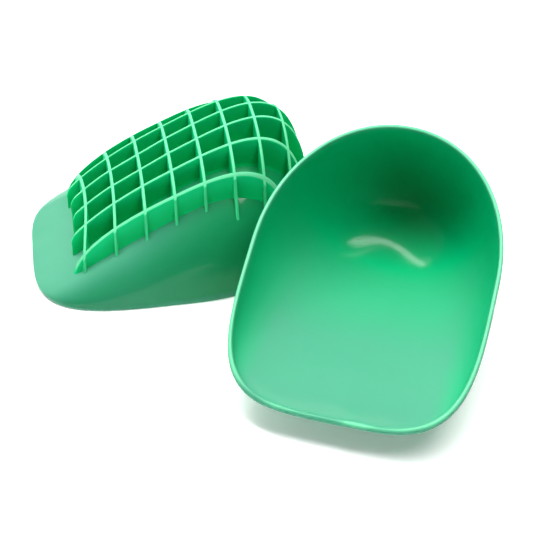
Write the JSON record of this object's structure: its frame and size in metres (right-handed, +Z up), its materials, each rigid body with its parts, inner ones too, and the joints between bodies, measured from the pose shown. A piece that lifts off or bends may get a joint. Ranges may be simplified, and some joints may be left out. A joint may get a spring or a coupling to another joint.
{
  "type": "heel cup pair",
  "caption": "Soft moulded heel cups: a flared scoop-shaped bowl over a waffle-ribbed cushioning sole, one standing on its sole and one upturned on its rim.",
  "frame": {"origin": "centre of the pair's box, on the surface that both cups rest on", "axes": "+Z up, +X towards the upright cup, +Y away from its toe end"},
  "size_m": [0.139, 0.1328, 0.0526],
  "materials": {
    "shell_elastomer": "gloss",
    "waffle_elastomer": "satin"
  },
  "bodies": {
    "upright_cup": {"upright_cup_shell": "shell_elastomer", "upright_cup_waffle": "waffle_elastomer"},
    "upturned_cup": {"upturned_cup_shell": "shell_elastomer", "upturned_cup_waffle": "waffle_elastomer"}
  },
  "joints": [
    {"name": "upturned_cup_lift", "type": "slide", "parent": "upright_cup", "child": "upturned_cup", "axis": [0, 0, 1], "range_m": [0, 0.1]}
  ]
}
